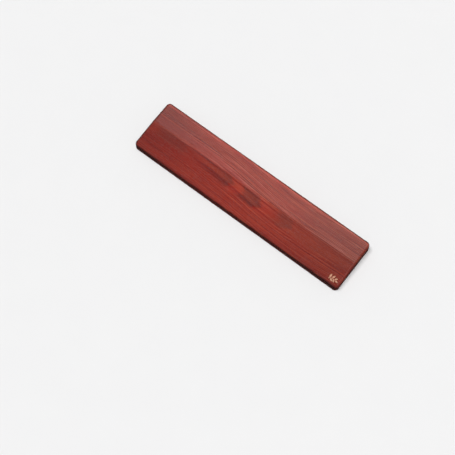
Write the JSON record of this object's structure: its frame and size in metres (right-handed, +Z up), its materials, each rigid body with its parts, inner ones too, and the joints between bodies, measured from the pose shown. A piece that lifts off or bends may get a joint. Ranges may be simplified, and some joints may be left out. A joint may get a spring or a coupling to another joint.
{
  "type": "wrist rest",
  "caption": "Long low wooden wrist rest with a two-facet top, rounded edges, stick-on rubber feet and a small foil leaf sprig near one corner.",
  "frame": {"origin": "on the desk surface, under the middle of the board", "axes": "+X along the board to the user's right, +Y towards the keyboard, +Z up"},
  "size_m": [0.36, 0.0816, 0.0207],
  "materials": {
    "stained_wood": "satin",
    "foot_rubber": "matte",
    "adhesive": "matte",
    "copper_foil": "satin"
  },
  "bodies": {
    "root": {"wood_board": "stained_wood", "rubber_foot_front_left": "foot_rubber", "rubber_foot_front_middle": "foot_rubber", "rubber_foot_front_right": "foot_rubber", "rubber_foot_rear_left": "foot_rubber", "rubber_foot_rear_middle": "foot_rubber", "rubber_foot_rear_right": "foot_rubber", "adhesive_disc_front_left": "adhesive", "adhesive_disc_front_middle": "adhesive", "adhesive_disc_front_right": "adhesive", "adhesive_disc_rear_left": "adhesive", "adhesive_disc_rear_middle": "adhesive", "adhesive_disc_rear_right": "adhesive", "foil_stem": "copper_foil", "foil_leaf_1": "copper_foil", "foil_leaf_2": "copper_foil", "foil_leaf_3": "copper_foil", "foil_leaf_4": "copper_foil", "foil_leaf_5": "copper_foil", "foil_leaf_6": "copper_foil"}
  },
  "joints": []
}
